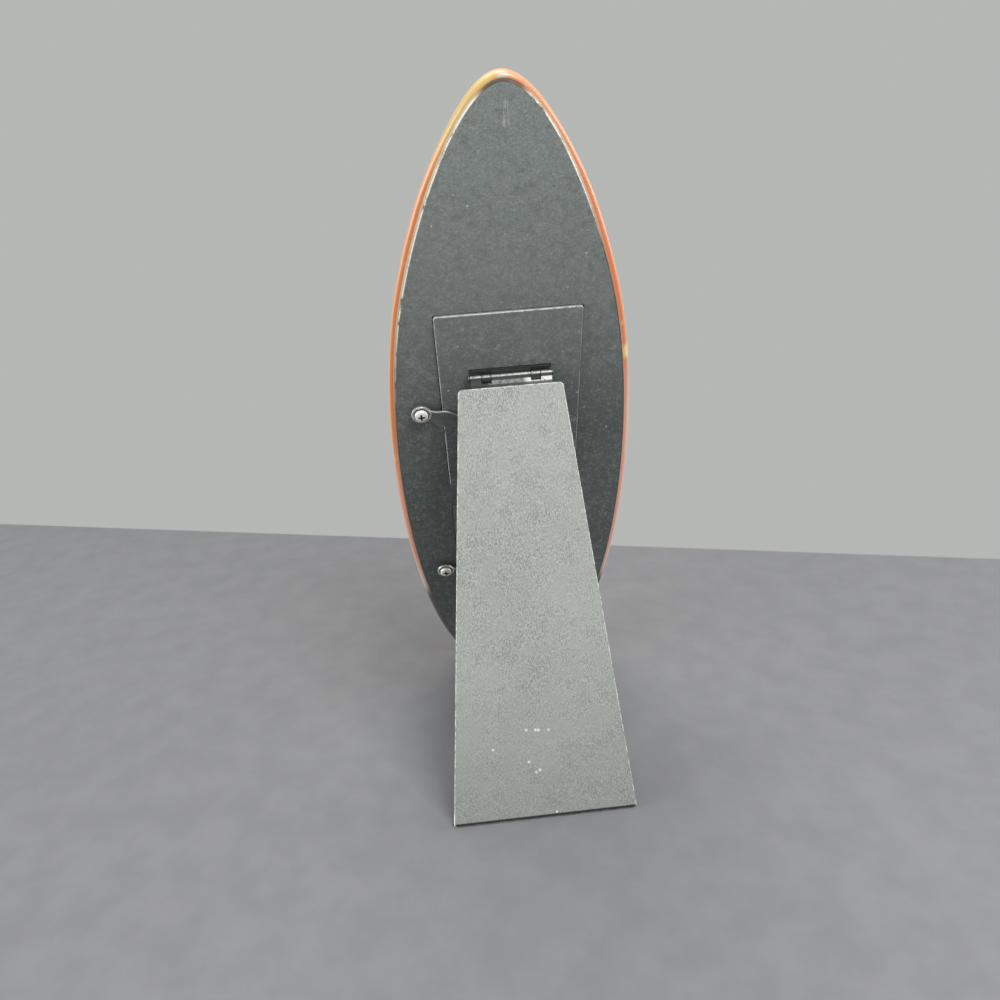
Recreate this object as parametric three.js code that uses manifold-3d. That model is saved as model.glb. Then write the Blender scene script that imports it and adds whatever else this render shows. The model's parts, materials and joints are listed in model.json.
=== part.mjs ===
import * as THREE from 'three';
import { mergeVertices, toCreasedNormals } from 'three/addons/utils/BufferGeometryUtils.js';
import Module from 'manifold-3d';

const wasm = await Module();
wasm.setup();

// Millimetres. Board frame: x across, y out of the back, z up the board from its foot.
// y = 0 is the face of the backing sheet.
const deg = THREE.MathUtils.degToRad;
const LEAN = deg(22);
const LEG_OPEN = deg(37.1);

// Gap between pieces that lie on each other, and the running fit of pins and screws.
const SEAT = 0.3;
const FIT = 0.1;

// Plan shape of the flat back: rounded nose, shoulder, widest point, squash tail.
const NOSE = { z: 297.4, round: 12.2 };
const SHOULDER = { x: 38.2, z: 228.5, angle: deg(15.5), up: 36.4, down: 26.5 };
const WIDEST = { x: 49.1, z: 129, up: 38.3, down: 48.8 };
const TAIL = { x: 28.5, z: 3, bendX: 41.9, bendZ: 26.8, flatX: 19, flatZ: -1.6, cornerX: 25.8 };
const RAIL = { width: 2.5, back: 1.6, tuck: 4 };

// Layers from the back face towards the front.
const COVER_T = 0.5;
const COVER_LIFT = 1;
const BACK_T = 6.2;
const FRONT_T = 4.6;
const BACK_Y = -COVER_T - SEAT;
const SPLIT_Y = BACK_Y - BACK_T;
const FRONT_Y = SPLIT_Y - SEAT - FRONT_T;

// Two equal windows, each closed from behind by a lift-out panel.
const PANEL = { width: 56.2, height: 85.6, corner: 1.4, proud: 1.1, edge: 0.5 };
const WINDOW_Z = { upper: 176.5, lower: 77 };
const SIGHT_LIP = 4.6;
const SIGHT_BEVEL = 1.4;
const GLASS_T = 2;
const PHOTO_T = 0.3;
const FILLER_T = 1.2;

// Five-knuckle hinge of the leg, on the upper panel.
const HINGE = { width: 32, leaf: 0.7, knuckle: 1.8, endKnuckle: 4.2, midKnuckle: 15.4 };
const PIN = { z: 191.6, y: PANEL.proud + SEAT + HINGE.knuckle, head: 1.3, headT: 0.5 };
const STRIP = 3;
const CLINCH = 6;
const LEG_LEAF = 16;
const STOP_LIP = 2.9;

// Easel leg, its tacks, the turn buttons and their screws.
const LEG = { top: 40.9, bottom: 77.7, length: 180.2, start: 3.6, thick: 3.2, corner: 1.8, edge: 0.6 };
const LEG_ASIDE = 0.7;
const TACK = { x: 9, drop: 11, head: 1.7, headT: 0.7, shank: 0.7, depth: 2.2 };
const BUTTON = { ring: 4.1, length: 18, half: 4.1, waist: 1.9, thick: 0.8, boss: 2.9, bead: 0.45 };
const SCREW = { head: 2.7, headT: 1.7, shank: 1.25, length: 5, point: 1.6, slotW: 0.7, slotT: 0.9 };

// Each button pivots beside its panel, this far from the panel's edge and just below its middle.
const PIVOT_OUT = { upper: 8.6, lower: 6.6 };
const PIVOT_DROP = 1;
const BLADE_TURN = { upper: deg(20), lower: deg(24) };
const BUTTONS = Object.keys(WINDOW_Z).map((name) => ({
  name,
  x: PANEL.width / 2 + PIVOT_OUT[name],
  z: WINDOW_Z[name] - PIVOT_DROP,
  turn: BLADE_TURN[name],
}));

// A cutter reaches this far past the piece it cuts.
const OVER = 4;
const FAR = 600;

const PALETTE = {
  rail: { color: 0xd4824a, roughness: 0.55, metalness: 0 },
  sheet: { color: 0x2b2d2c, roughness: 0.7, metalness: 0 },
  glass: { color: 0xcfe0dc, roughness: 0.05, metalness: 0 },
  photo: { color: 0xece8dd, roughness: 0.5, metalness: 0 },
  card: { color: 0xa98f6a, roughness: 0.9, metalness: 0 },
  panel: { color: 0x303231, roughness: 0.65, metalness: 0 },
  leg: { color: 0x383b3a, roughness: 0.6, metalness: 0 },
  hinge: { color: 0x3a3d3b, roughness: 0.4, metalness: 0.8 },
  button: { color: 0x303331, roughness: 0.4, metalness: 0.8 },
  screw: { color: 0xc9ccc9, roughness: 0.25, metalness: 1 },
};

function toSolid(source) {
  const geometry = source.clone();
  geometry.deleteAttribute('normal');
  geometry.deleteAttribute('uv');
  const welded = mergeVertices(geometry, 1e-4);
  const mesh = new wasm.Mesh({
    numProp: 3,
    vertProperties: new Float32Array(welded.attributes.position.array),
    triVerts: new Uint32Array(welded.index.array),
  });
  return new wasm.Manifold(mesh);
}

function toMesh(name, solid, look) {
  const data = solid.getMesh();
  const geometry = new THREE.BufferGeometry();
  geometry.setAttribute('position', new THREE.BufferAttribute(data.vertProperties, 3));
  geometry.setIndex(new THREE.BufferAttribute(data.triVerts, 1));
  const material = new THREE.MeshStandardMaterial(PALETTE[look]);
  const mesh = new THREE.Mesh(toCreasedNormals(geometry, deg(35)), material);
  mesh.name = name;
  return mesh;
}

// A shape drawn in x and z, with its back face at y = top and its depth towards the front.
function plate(shape, top, depth, bevel = 0, bevelDepth = bevel, steps = 3, inset = 0) {
  const geometry = new THREE.ExtrudeGeometry(shape, {
    depth: depth - 2 * bevelDepth,
    bevelEnabled: bevel > 0,
    bevelSize: bevel,
    bevelThickness: bevelDepth,
    bevelOffset: -inset,
    bevelSegments: steps,
    curveSegments: 12,
  });
  geometry.rotateX(Math.PI / 2);
  geometry.translate(0, top - bevelDepth, 0);
  return toSolid(geometry);
}

// A shape drawn in y and z, running across the board from x0 to x1.
function across(shape, x0, x1) {
  const run = { depth: x1 - x0, bevelEnabled: false, curveSegments: 12 };
  const geometry = new THREE.ExtrudeGeometry(shape, run);
  const axes = new THREE.Matrix4().makeBasis(
    new THREE.Vector3(0, 1, 0),
    new THREE.Vector3(0, 0, 1),
    new THREE.Vector3(1, 0, 0),
  );
  geometry.applyMatrix4(axes);
  geometry.translate(x0, 0, 0);
  return toSolid(geometry);
}

function block(x0, x1, y0, y1, z0, z1) {
  const geometry = new THREE.BoxGeometry(x1 - x0, y1 - y0, z1 - z0);
  geometry.translate((x0 + x1) / 2, (y0 + y1) / 2, (z0 + z1) / 2);
  return toSolid(geometry);
}

// A turned piece about the y axis through (x, z); the profile holds [radius, y] pairs, upwards.
function turned(profile, x = 0, z = 0, sides = 28) {
  const points = profile.map(([radius, y]) => new THREE.Vector2(radius, y));
  const geometry = new THREE.LatheGeometry(points, sides);
  geometry.translate(x, 0, z);
  return toSolid(geometry);
}

function rod(radius, y0, y1, x = 0, z = 0) {
  return turned([[0, y0], [radius, y0], [radius, y1], [0, y1]], x, z, 20);
}

// A polygon with each corner eased by a curve of the given reach.
function easedPolygon(corners, reach) {
  const shape = new THREE.Shape();
  const towards = (from, to) => from.clone().add(to.clone().sub(from).setLength(reach));
  corners.forEach((corner, i) => {
    const before = corners[(i + corners.length - 1) % corners.length];
    const after = corners[(i + 1) % corners.length];
    const start = towards(corner, before);
    const end = towards(corner, after);
    if (i === 0) shape.moveTo(start.x, start.y);
    else shape.lineTo(start.x, start.y);
    shape.quadraticCurveTo(corner.x, corner.y, end.x, end.y);
  });
  shape.closePath();
  return shape;
}

function windowShape(width, height, centreZ, corner) {
  const x = width / 2;
  const z0 = centreZ - height / 2;
  const z1 = centreZ + height / 2;
  const corners = [[-x, z0], [x, z0], [x, z1], [-x, z1]];
  return easedPolygon(corners.map(([u, v]) => new THREE.Vector2(u, v)), corner);
}

function boardShape() {
  const shape = new THREE.Shape();
  const lean = new THREE.Vector2(Math.sin(SHOULDER.angle), -Math.cos(SHOULDER.angle));
  const above = new THREE.Vector2(SHOULDER.x, SHOULDER.z).addScaledVector(lean, -SHOULDER.up);
  const below = new THREE.Vector2(SHOULDER.x, SHOULDER.z).addScaledVector(lean, SHOULDER.down);
  shape.moveTo(-TAIL.flatX, TAIL.flatZ);
  shape.lineTo(TAIL.flatX, TAIL.flatZ);
  shape.quadraticCurveTo(TAIL.cornerX, TAIL.flatZ, TAIL.x, TAIL.z);
  shape.bezierCurveTo(TAIL.bendX, TAIL.bendZ, WIDEST.x, WIDEST.z - WIDEST.down, WIDEST.x, WIDEST.z);
  shape.bezierCurveTo(WIDEST.x, WIDEST.z + WIDEST.up, below.x, below.y, SHOULDER.x, SHOULDER.z);
  shape.bezierCurveTo(above.x, above.y, NOSE.round, NOSE.z, 0, NOSE.z);
  shape.bezierCurveTo(-NOSE.round, NOSE.z, -above.x, above.y, -SHOULDER.x, SHOULDER.z);
  shape.bezierCurveTo(-below.x, below.y, -WIDEST.x, WIDEST.z + WIDEST.up, -WIDEST.x, WIDEST.z);
  shape.bezierCurveTo(-WIDEST.x, WIDEST.z - WIDEST.down, -TAIL.bendX, TAIL.bendZ, -TAIL.x, TAIL.z);
  shape.quadraticCurveTo(-TAIL.cornerX, TAIL.flatZ, -TAIL.flatX, TAIL.flatZ);
  return shape;
}

// Everything under the table, seen from a frame turned about x, with the table at the given drop.
function underTable(turn, drop) {
  const geometry = new THREE.BoxGeometry(FAR, FAR, FAR);
  geometry.translate(0, 0, -FAR / 2 - drop);
  geometry.rotateX(turn);
  return toSolid(geometry);
}

const WINDOWS = Object.entries(WINDOW_Z);
const outline = boardShape();
const table = underTable(LEAN, 0);
const shankHole = SCREW.shank + FIT;

function rebates(top, depth) {
  return WINDOWS.map(([, z]) => {
    const shape = windowShape(PANEL.width + 2 * SEAT, PANEL.height + 2 * SEAT, z, PANEL.corner);
    return plate(shape, top + OVER, depth + 2 * OVER);
  });
}

function screwHoles() {
  return BUTTONS.map(({ x, z }) => rod(shankHole, SPLIT_Y + SEAT, OVER, x, z));
}

function cut(solid, cutters) {
  return cutters.reduce((rest, cutter) => rest.subtract(cutter), solid);
}

function buildCover() {
  const sheet = plate(outline, 0, COVER_T);
  return cut(sheet, [...rebates(0, COVER_T), ...screwHoles(), underTable(LEAN, -COVER_LIFT)]);
}

// The whole board: its rail swells out from the flat back, then rolls in to a smaller front face.
function boardBlank() {
  const deep = FAR / 10;
  const roll = BACK_Y - RAIL.back - FRONT_Y;
  const back = plate(outline, BACK_Y, deep, RAIL.width, RAIL.back, 5);
  const front = plate(outline, FRONT_Y + deep, deep, RAIL.width + RAIL.tuck, roll, 8, RAIL.tuck);
  return back.intersect(front);
}

const blank = boardBlank();

function buildBackBoard() {
  const layer = blank.intersect(block(-FAR, FAR, SPLIT_Y, OVER, -FAR, FAR));
  return cut(layer, [...rebates(BACK_Y, BACK_T), ...screwHoles(), table]);
}

function buildFrontBoard() {
  const layer = blank.intersect(block(-FAR, FAR, FRONT_Y - OVER, FRONT_Y + FRONT_T, -FAR, FAR));
  const sights = WINDOWS.flatMap(([, z]) => {
    const shape = windowShape(PANEL.width - 2 * SIGHT_LIP, PANEL.height - 2 * SIGHT_LIP, z, PANEL.corner);
    const through = plate(shape, SPLIT_Y + OVER, FRONT_T + 2 * OVER);
    const flare = plate(shape, FRONT_Y + SIGHT_BEVEL, 3 * OVER, SIGHT_BEVEL, SIGHT_BEVEL, 1);
    return [through, flare];
  });
  return cut(layer, [...sights, table]);
}

function sheetIn(z, top, thick) {
  return plate(windowShape(PANEL.width - SEAT, PANEL.height - SEAT, z, PANEL.corner), top, thick);
}

const GLASS_TOP = SPLIT_Y + GLASS_T;
const PHOTO_TOP = GLASS_TOP + SEAT + PHOTO_T;
const FILLER_TOP = PHOTO_TOP + SEAT + FILLER_T;
const PANEL_IN = FILLER_TOP + SEAT;
const PANEL_T = PANEL.proud - PANEL_IN;

// Section of the hinge leaf on the panel: strip outside, web through the slot, clinched tail inside.
const STRIP_TOP = PANEL.proud + SEAT + HINGE.leaf;
const TAIL_IN = PANEL_IN + SEAT;
const TAIL_OUT = TAIL_IN + HINGE.leaf;
const WEB = { from: PIN.z + STRIP - HINGE.leaf, to: PIN.z + STRIP };

function buildPanel(z) {
  const shape = windowShape(PANEL.width - 2 * PANEL.edge, PANEL.height - 2 * PANEL.edge, z, PANEL.corner);
  const panel = plate(shape, PANEL.proud, PANEL_T, PANEL.edge, PANEL.edge, 2);
  if (z !== WINDOW_Z.upper) return panel;
  const half = HINGE.width / 2 + SEAT;
  const low = PANEL_IN - OVER;
  const slotTo = WEB.to + SEAT;
  const slot = block(-half, half, low, PANEL.proud + OVER, WEB.from - SEAT, slotTo);
  const recess = block(-half, half, low, TAIL_OUT + SEAT, WEB.from - SEAT, slotTo + CLINCH);
  return cut(panel, [slot, recess]);
}

// Knuckles across the hinge: the leg has the ends and the middle, the panel the two between.
const END_IN = HINGE.width / 2 - HINGE.endKnuckle;
const MID = HINGE.midKnuckle / 2;
const LEG_KNUCKLES = [[-HINGE.width / 2, -END_IN], [-MID, MID], [END_IN, HINGE.width / 2]];
const PANEL_KNUCKLES = [[-END_IN + SEAT, -MID - SEAT], [MID + SEAT, END_IN - SEAT]];
const CLEAR = HINGE.knuckle + SEAT;

function knuckle([x0, x1], y, z) {
  const ring = new THREE.Shape();
  ring.absarc(y, z, HINGE.knuckle, 0, 2 * Math.PI, false);
  const bore = new THREE.Path();
  bore.absarc(y, z, HINGE.knuckle - HINGE.leaf, 0, 2 * Math.PI, true);
  ring.holes.push(bore);
  return across(ring, x0, x1);
}

function buildPanelLeaf() {
  const under = STRIP_TOP - HINGE.leaf;
  const section = new THREE.Shape();
  section.moveTo(under, PIN.z);
  section.lineTo(under, WEB.from);
  section.lineTo(TAIL_IN, WEB.from);
  section.lineTo(TAIL_IN, WEB.to + CLINCH);
  section.lineTo(TAIL_OUT, WEB.to + CLINCH);
  section.lineTo(TAIL_OUT, WEB.to);
  section.lineTo(STRIP_TOP, WEB.to);
  section.lineTo(STRIP_TOP, PIN.z);
  section.closePath();
  const leaf = across(section, -HINGE.width / 2, HINGE.width / 2);
  const notches = LEG_KNUCKLES.map(([x0, x1]) =>
    block(x0 - SEAT, x1 + SEAT, 0, PIN.y + CLEAR, PIN.z - CLEAR, PIN.z + CLEAR));
  const knuckles = PANEL_KNUCKLES.map((span) => knuckle(span, PIN.y, PIN.z));
  return knuckles.reduce((sum, ring) => sum.add(ring), cut(leaf, notches));
}

// Leg frame: origin on the hinge pin, z up the leg, y out of its outer face.
const LEG_IN = HINGE.knuckle + SEAT;
const LEG_OUT = LEG_IN + LEG.thick;
const tackHole = TACK.shank + FIT;
const TACKS = [{ name: 'leg_tack_a', x: -TACK.x }, { name: 'leg_tack_b', x: TACK.x }];

function tackHoles() {
  return TACKS.map(({ x }) => rod(tackHole, 0, LEG_IN + TACK.depth + SEAT, x, -TACK.drop));
}

function buildLegLeaf() {
  const inner = HINGE.knuckle - HINGE.leaf;
  const half = HINGE.width / 2;
  const leaf = block(-half, half, inner, HINGE.knuckle, -LEG_LEAF, 0);
  const notches = PANEL_KNUCKLES.map(([x0, x1]) =>
    block(x0 - SEAT, x1 + SEAT, 0, CLEAR, -CLEAR, CLEAR));
  const stop = new THREE.BoxGeometry(HINGE.midKnuckle, HINGE.leaf, STOP_LIP - inner);
  const stopY = STRIP_TOP + SEAT + HINGE.leaf / 2 - PIN.y;
  stop.translate(0, stopY, (STOP_LIP + inner) / 2 + FIT);
  stop.rotateX(-LEG_OPEN);
  const rings = LEG_KNUCKLES.map((span) => knuckle(span, 0, 0));
  const whole = rings.reduce((sum, ring) => sum.add(ring), cut(leaf, notches));
  return cut(whole.add(toSolid(stop)), tackHoles());
}

function buildLeg() {
  const e = LEG.edge;
  const top = -LEG.start - e;
  const grow = (LEG.bottom - LEG.top) / LEG.length;
  const low = -LEG.start - LEG.length + e;
  const halfAt = (z) => (LEG.top + grow * (-LEG.start - z)) / 2 - e;
  const corners = [[-halfAt(low), low], [halfAt(low), low], [halfAt(top), top], [-halfAt(top), top]];
  const shape = easedPolygon(corners.map(([x, z]) => new THREE.Vector2(x + LEG_ASIDE, z)), LEG.corner);
  const pinHeight = PIN.z * Math.cos(LEAN) - PIN.y * Math.sin(LEAN);
  const floor = underTable(LEAN - LEG_OPEN, pinHeight);
  return cut(plate(shape, LEG_OUT, LEG.thick, e, e, 2), [...tackHoles(), floor]);
}

function buildTack(x) {
  const seat = HINGE.knuckle - HINGE.leaf - SEAT;
  const tip = LEG_IN + TACK.depth;
  const profile = [
    [0, seat - TACK.headT],
    [TACK.head * 0.6, seat - TACK.headT * 0.85],
    [TACK.head * 0.92, seat - TACK.headT * 0.45],
    [TACK.head, seat],
    [TACK.shank, seat],
    [TACK.shank, tip - TACK.shank],
    [0, tip],
  ];
  return turned(profile, x, -TACK.drop, 18);
}

function buildPin() {
  const half = HINGE.width / 2 + SEAT;
  const radius = HINGE.knuckle - HINGE.leaf - FIT;
  const profile = [
    [0, -half - PIN.headT],
    [PIN.head * 0.7, -half - PIN.headT],
    [PIN.head, -half - PIN.headT / 2],
    [PIN.head, -half],
    [radius, -half],
    [radius, half],
    [PIN.head, half],
    [PIN.head, half + PIN.headT / 2],
    [PIN.head * 0.7, half + PIN.headT],
    [0, half + PIN.headT],
  ];
  const geometry = new THREE.LatheGeometry(profile.map(([r, y]) => new THREE.Vector2(r, y)), 20);
  geometry.rotateZ(-Math.PI / 2);
  geometry.translate(0, PIN.y, PIN.z);
  return toSolid(geometry);
}

// Button frame: origin on the screw axis at the face of the backing sheet, blade towards -x.
const BLADE_LOW = PANEL.proud + SEAT;
const BLADE_TOP = BLADE_LOW + BUTTON.thick;

function buildButton() {
  const neck = deg(130);
  const neckX = BUTTON.ring * Math.cos(neck);
  const neckZ = BUTTON.ring * Math.sin(neck);
  const wideX = -BUTTON.length * 0.55;
  const shape = new THREE.Shape();
  shape.absarc(0, 0, BUTTON.ring, -neck, neck, false);
  shape.bezierCurveTo(neckX * 2.2, BUTTON.waist, wideX * 0.7, BUTTON.half, wideX, BUTTON.half);
  shape.bezierCurveTo(wideX * 1.3, BUTTON.half, -BUTTON.length, BUTTON.half * 0.6, -BUTTON.length, 0);
  shape.bezierCurveTo(-BUTTON.length, -BUTTON.half * 0.6, wideX * 1.3, -BUTTON.half, wideX, -BUTTON.half);
  shape.bezierCurveTo(wideX * 0.7, -BUTTON.half, neckX * 2.2, -BUTTON.waist, neckX, -neckZ);
  const blade = plate(shape, BLADE_TOP, BUTTON.thick);
  const boss = rod(BUTTON.boss, SEAT, BLADE_TOP - BUTTON.thick / 2);
  const bead = new THREE.TorusGeometry(BUTTON.ring - BUTTON.bead, BUTTON.bead, 6, 24);
  bead.rotateX(Math.PI / 2);
  bead.translate(0, BLADE_TOP, 0);
  return blade.add(boss).add(toSolid(bead)).subtract(rod(shankHole, -OVER, BLADE_TOP + OVER));
}

function buildScrew(x, z) {
  const seat = BLADE_TOP + SEAT;
  const top = seat + SCREW.headT;
  const tip = -SCREW.length;
  const profile = [
    [0, tip],
    [SCREW.shank, tip + SCREW.point],
    [SCREW.shank, seat],
    [SCREW.head, seat],
    [SCREW.head, seat + SCREW.headT * 0.45],
    [SCREW.head * 0.9, seat + SCREW.headT * 0.75],
    [SCREW.head * 0.62, top - SCREW.headT * 0.06],
    [0, top],
  ];
  const reach = SCREW.head * 0.62;
  const w = SCREW.slotW / 2;
  const floor = top - SCREW.slotT;
  const slots = [
    block(x - reach, x + reach, floor, top + OVER, z - w, z + w),
    block(x - w, x + w, floor, top + OVER, z - reach, z + reach),
  ];
  return cut(turned(profile, x, z), slots);
}

function group(name, ...children) {
  const node = new THREE.Group();
  node.name = name;
  node.add(...children);
  return node;
}

const board = group(
  'board_assembly',
  toMesh('front_board', buildFrontBoard(), 'rail'),
  toMesh('back_board', buildBackBoard(), 'rail'),
  toMesh('back_cover', buildCover(), 'sheet'),
  toMesh('hinge_panel_leaf', buildPanelLeaf(), 'hinge'),
  toMesh('hinge_pin', buildPin(), 'hinge'),
);
for (const [name, z] of WINDOWS) {
  board.add(
    toMesh(`${name}_glass`, sheetIn(z, GLASS_TOP, GLASS_T), 'glass'),
    toMesh(`${name}_photo`, sheetIn(z, PHOTO_TOP, PHOTO_T), 'photo'),
    toMesh(`${name}_filler`, sheetIn(z, FILLER_TOP, FILLER_T), 'card'),
    toMesh(`${name}_panel`, buildPanel(z), 'panel'),
  );
}
for (const { name, x, z, turn } of BUTTONS) {
  const button = group(`${name}_button_pivot`, toMesh(`${name}_button`, buildButton(), 'button'));
  button.position.set(x, 0, z);
  button.rotation.y = -turn;
  board.add(button, toMesh(`${name}_screw`, buildScrew(x, z), 'screw'));
}

const leg = group(
  'leg_assembly',
  toMesh('easel_leg', buildLeg(), 'leg'),
  toMesh('hinge_leg_leaf', buildLegLeaf(), 'hinge'),
  ...TACKS.map(({ name, x }) => toMesh(name, buildTack(x), 'screw')),
);
leg.position.set(0, PIN.y, PIN.z);
leg.rotation.x = LEG_OPEN;
board.add(leg);
board.rotation.x = -LEAN;

// The part stands on its origin, the middle of its footprint.
const root = group('photo_frame', board);
root.updateMatrixWorld(true);
const extent = new THREE.Box3().setFromObject(root, true);
const middle = extent.getCenter(new THREE.Vector3());
board.position.set(-middle.x, -middle.y, -extent.min.z);
root.updateMatrixWorld(true);

export default root;
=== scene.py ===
import json
import math

import bmesh
import bpy
import numpy as np
from mathutils import Matrix, Vector


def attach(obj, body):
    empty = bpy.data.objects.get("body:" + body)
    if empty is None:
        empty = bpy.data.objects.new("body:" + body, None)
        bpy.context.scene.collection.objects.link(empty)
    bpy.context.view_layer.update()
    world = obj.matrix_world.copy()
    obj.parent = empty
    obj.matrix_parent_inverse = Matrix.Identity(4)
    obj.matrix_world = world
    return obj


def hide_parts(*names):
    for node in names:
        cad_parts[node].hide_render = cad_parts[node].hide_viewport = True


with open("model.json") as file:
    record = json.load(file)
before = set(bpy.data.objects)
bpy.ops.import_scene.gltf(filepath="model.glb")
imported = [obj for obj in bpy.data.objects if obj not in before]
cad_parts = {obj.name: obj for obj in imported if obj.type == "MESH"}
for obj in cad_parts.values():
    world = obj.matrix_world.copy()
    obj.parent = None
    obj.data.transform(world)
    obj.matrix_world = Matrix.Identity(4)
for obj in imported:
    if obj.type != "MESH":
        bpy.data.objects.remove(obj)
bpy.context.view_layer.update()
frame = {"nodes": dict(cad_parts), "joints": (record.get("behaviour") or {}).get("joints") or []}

# Sizes of the frame are in millimetres, as in the solids, apart from finer edges and what a comment names.
# Board frame: x across, y out of the back from the face of the black sheet, z up the board.
# Leg frame: x across, y towards the leg's outer face, z up the leg, all from the hinge pin.
MM = 0.001
LEAN = math.radians(22)
LEG_OPEN = math.radians(37.1)
# Gap between pieces that lie on each other.
SEAT = 0.3
# A cutter reaches this far past the piece that it cuts, and the table's cutter this far each way.
OVER = 4
FAR = 300

# Plan shape of the flat back: rounded nose, shoulder, widest place and squared tail.
# UP and DOWN are the lengths of the curve handles.
NOSE_Z = 297.4
NOSE_ROUND = 12.2
SHOULDER_X = 38.2
SHOULDER_Z = 228.5
SHOULDER_SLOPE = math.radians(15.5)
SHOULDER_UP = 36.4
SHOULDER_DOWN = 26.5
WIDE_X = 49.1
WIDE_Z = 129
WIDE_UP = 38.3
WIDE_DOWN = 48.8
TAIL_X = 28.5
TAIL_Z = 3
BEND_X = 41.9
BEND_Z = 26.8
FLAT_X = 19
FLAT_Z = -1.6
CORNER_X = 25.8

# Rail: its reach past the flat back, the depth of its back quarter, and how far the front tucks under.
RAIL_W = 2.5
RAIL_BACK = 1.6
RAIL_TUCK = 4
# Round the nose the rail is slimmer than in the solids: the share that is left, and over which heights.
NOSE_SLIM = 0.7
SLIM_FROM = 258
SLIM_TO = 288

# Layers of the board, from the black sheet towards the front.
COVER_T = 0.5
COVER_LIFT = 1
BACK_T = 6.2
FRONT_T = 4.6
BACK_Y = -COVER_T - SEAT
SPLIT_Y = BACK_Y - BACK_T
FRONT_Y = SPLIT_Y - SEAT - FRONT_T
# Rounded edge of the black sheet, as offset from the outline and y. Its side goes a little deeper.
COVER_SINK = 0.2
COVER_EDGE = [(-0.4, 0), (-0.15, -0.06), (0.05, -0.25), (0.05, -COVER_T - COVER_SINK)]

# Two equal windows, each with a pane, a photo, a filler card and a lift-out panel.
PANEL_W = 56.2
PANEL_H = 85.6
PANEL_CORNER = 1.4
PANEL_PROUD = 1.1
PANEL_EDGE = 0.4
GLASS_T = 2
PHOTO_T = 0.3
FILLER_T = 1.2
PANEL_IN = SPLIT_Y + GLASS_T + SEAT + PHOTO_T + SEAT + FILLER_T + SEAT
WINDOW_Z = {"upper": 176.5, "lower": 77}
SIGHT_LIP = 4.6
SIGHT_BEVEL = 1.4
SIGHT_OVER = 2
# Faces this close round a panel, and this far under the back, are walls of its rebate.
REBATE_NEAR = 1
REBATE_UNDER = 0.05

# Hinge of the leg, and the slot of its leaf in the upper panel, which lies a strip above the pin.
HINGE_W = 32
KNUCKLE = 1.8
LEAF_T = 0.7
STRIP = 3
PIN_Y = PANEL_PROUD + SEAT + KNUCKLE
PIN_Z = 191.6

# Easel leg.
LEG_TOP = 40.9
LEG_BOTTOM = 77.7
LEG_LENGTH = 180.2
LEG_START = 3.6
LEG_LOW = -LEG_START - LEG_LENGTH
LEG_ASIDE = 0.7
LEG_IN = KNUCKLE + SEAT
LEG_T = 3.2
LEG_OUT = LEG_IN + LEG_T
LEG_CORNER = 1.8
LEG_EDGE = 0.6
LEG_SOFT = 0.3

# Turn buttons: a ring round the screw, a neck at an angle on it, a waist and a blade.
RING = 4.1
NECK_AT = 130
WAIST = 1.9
BLADE = 18
BLADE_HALF = 4.1
WIDEST_AT = 0.55
BLADE_T = 0.8
BLADE_LOW = PANEL_PROUD + SEAT
BLADE_HIGH = BLADE_LOW + BLADE_T
# Pressed edge of a button: offset from the outline, and depth below the top.
PRESSED_EDGE = [(-1.3, 0.05), (-0.75, 0), (-0.35, 0.06), (-0.1, 0.22), (0, 0.45)]
BEAD = 0.45
BEAD_SINK = 0.05
BEAD_TURNS = 48
BEAD_SIDES = 10
PIVOT_OUT = {"upper": 8.6, "lower": 6.6}
PIVOT_DROP = 1
PIVOT = {name: (PANEL_W / 2 + PIVOT_OUT[name], z - PIVOT_DROP) for name, z in WINDOW_Z.items()}
BLADE_TURN = {"upper": math.radians(20), "lower": math.radians(24)}

# Cross-recess screws. The recess is 0.1 wider than in the solids.
HEAD = 2.7
HEAD_T = 1.7
HEAD_RIM = 0.4
SHANK = 1.25
POINT = 1.6
SCREW_LENGTH = 5
SCREW_SEAT = BLADE_HIGH + SEAT
SCREW_TOP = SCREW_SEAT + HEAD_T
AXIS_R = 0.05
SLOT_W = 0.8
SLOT_T = 0.9
SLOT_REACH = 0.52 * HEAD
SLOT_OVER = 1
SLOT_FLOOR = SCREW_TOP - SLOT_T
SLOT_DARK_TO = SCREW_SEAT + 0.85 * HEAD_T
HAIR = 0.01

# Rounded edges of the solids that keep their shape, and the reach within which their points are welded.
LEAF_EDGE = 0.16
PIN_EDGE = 0.12
GLASS_EDGE = 0.15
EDGE_SEGMENTS = 2
EDGE_ANGLE = math.radians(40)
WELD = 0.01

# Marks: upright scratches at the nose of the back, and a yellow spot and a chip on the rail.
SCRATCH_X = -0.5
SCRATCH_Z = (285.5, 288, 290.5)
SCRATCH_R = 1.9
SPOT_AT = (-46.5, -2, 196)
SPOT_R = 4.5
NOSE_CHIP_AT = (0, -1, 298.2)
NOSE_CHIP_R = 2.4
# On the leg: a bare chip at a lower corner, the top of the painted shadow along the foot, and nicks as x, z
# and radius.
LEG_CHIP_AT = (39, 4.4, -180.8)
LEG_CHIP_R = 4.6
FOOT_SHADOW_RISE = 1.8
FOOT_SHADOW_Z = LEG_LOW + FOOT_SHADOW_RISE
NICKS = [(6, -144.1, 0.8), (2.2, -144.5, 0.9), (1, -144.7, 0.9), (-3.2, -145, 0.7), (20.4, -151.2, 0.8),
         (6, -158.2, 0.8), (1.7, -162.2, 0.9), (3.3, -163, 0.7), (-4, -181.6, 0.7)]
# Painted shade: the upper panel's edge is kept dim on the side past this x.
SHADED_EDGE_X = -28.2

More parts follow.
